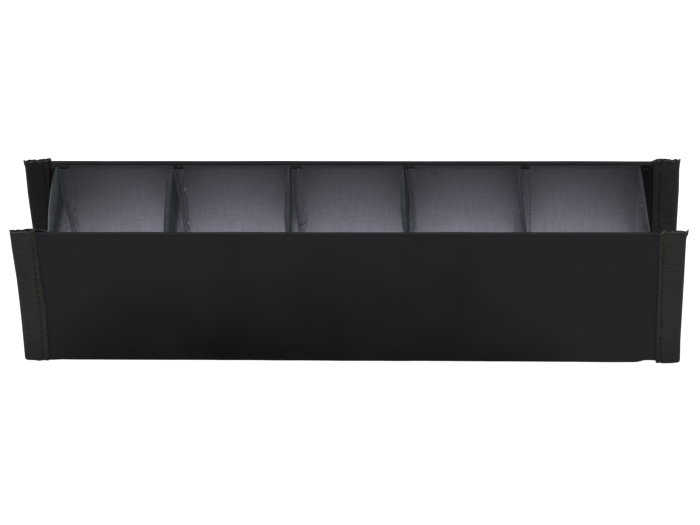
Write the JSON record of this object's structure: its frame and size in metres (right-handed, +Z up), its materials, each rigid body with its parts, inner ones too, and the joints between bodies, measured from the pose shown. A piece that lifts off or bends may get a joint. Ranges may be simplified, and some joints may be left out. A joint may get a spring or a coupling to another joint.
{
  "type": "strip light grid with leaves",
  "caption": "Two stiffened black cloth leaves joined by a folding sewn grid of light cells, with elastic straps, to snap over a short tube light as a directional strip.",
  "frame": {"origin": "centre of the footprint, on the surface that the straps' undersides rest on", "axes": "+X along the leaves to the right of the front leaf's face, +Y from the front leaf to the rear leaf, +Z up, the way the light leaves"},
  "size_m": [0.235, 0.046, 0.0585],
  "materials": {
    "outer_cloth": "satin woven polyester",
    "inner_cloth": "matt woven polyester",
    "stiffener": "matt polypropylene board",
    "ribbon": "ribbed grosgrain",
    "grid_cloth": "fine woven nylon",
    "divider_cloth": "coated nylon",
    "elastic": "knitted elastic"
  },
  "bodies": {
    "rear_leaf": {"rear_outer_skin": "outer_cloth", "rear_board": "stiffener", "rear_lining": "inner_cloth", "rear_left_binding": "ribbon", "rear_right_binding": "ribbon", "rear_grid_wall": "grid_cloth", "rear_divider_flanges": "divider_cloth"},
    "front_leaf": {"front_outer_skin": "outer_cloth", "front_board": "stiffener", "front_lining": "inner_cloth", "front_left_binding": "ribbon", "front_right_binding": "ribbon", "front_grid_wall": "grid_cloth", "front_divider_flanges": "divider_cloth"},
    "divider_1": {"divider_1": "divider_cloth"},
    "divider_2": {"divider_2": "divider_cloth"},
    "divider_3": {"divider_3": "divider_cloth"},
    "divider_4": {"divider_4": "divider_cloth"},
    "divider_5": {"divider_5": "divider_cloth"},
    "divider_6": {"divider_6": "divider_cloth"},
    "strap_left": {"strap_left": "elastic"},
    "strap_right": {"strap_right": "elastic"}
  },
  "joints": [
    {"name": "grid_fold", "type": "hinge", "parent": "rear_leaf", "child": "divider_1", "pos_m": [-0.105, 0.01945, 0.035], "axis": [0, 0, -1], "range_deg": [-80, 85]},
    {"name": "divider_2_hinge", "type": "hinge", "parent": "rear_leaf", "child": "divider_2", "pos_m": [-0.063, 0.01945, 0.035], "axis": [0, 0, -1], "range_deg": [-80, 85]},
    {"name": "divider_3_hinge", "type": "hinge", "parent": "rear_leaf", "child": "divider_3", "pos_m": [-0.021, 0.01945, 0.035], "axis": [0, 0, -1], "range_deg": [-80, 85]},
    {"name": "divider_4_hinge", "type": "hinge", "parent": "rear_leaf", "child": "divider_4", "pos_m": [0.021, 0.01945, 0.035], "axis": [0, 0, -1], "range_deg": [-80, 85]},
    {"name": "divider_5_hinge", "type": "hinge", "parent": "rear_leaf", "child": "divider_5", "pos_m": [0.063, 0.01945, 0.035], "axis": [0, 0, -1], "range_deg": [-80, 85]},
    {"name": "divider_6_hinge", "type": "hinge", "parent": "rear_leaf", "child": "divider_6", "pos_m": [0.105, 0.01945, 0.035], "axis": [0, 0, -1], "range_deg": [-80, 85]},
    {"name": "strap_left_hinge", "type": "hinge", "parent": "rear_leaf", "child": "strap_left", "pos_m": [-0.111, 0.01945, 0.0005], "axis": [0, 0, -1], "range_deg": [-80, 85]},
    {"name": "strap_right_hinge", "type": "hinge", "parent": "rear_leaf", "child": "strap_right", "pos_m": [0.111, 0.01945, 0.0005], "axis": [0, 0, -1], "range_deg": [-80, 85]},
    {"name": "front_leaf_hinge", "type": "hinge", "parent": "divider_1", "child": "front_leaf", "pos_m": [-0.105, -0.01945, 0.035], "axis": [0, 0, -1], "range_deg": [-85, 80]}
  ],
  "couplings": [
    {"joint": "divider_2_hinge", "follows": "grid_fold", "ratio": 1},
    {"joint": "divider_3_hinge", "follows": "grid_fold", "ratio": 1},
    {"joint": "divider_4_hinge", "follows": "grid_fold", "ratio": 1},
    {"joint": "divider_5_hinge", "follows": "grid_fold", "ratio": 1},
    {"joint": "divider_6_hinge", "follows": "grid_fold", "ratio": 1},
    {"joint": "strap_left_hinge", "follows": "grid_fold", "ratio": 1},
    {"joint": "strap_right_hinge", "follows": "grid_fold", "ratio": 1},
    {"joint": "front_leaf_hinge", "follows": "grid_fold", "ratio": -1}
  ]
}
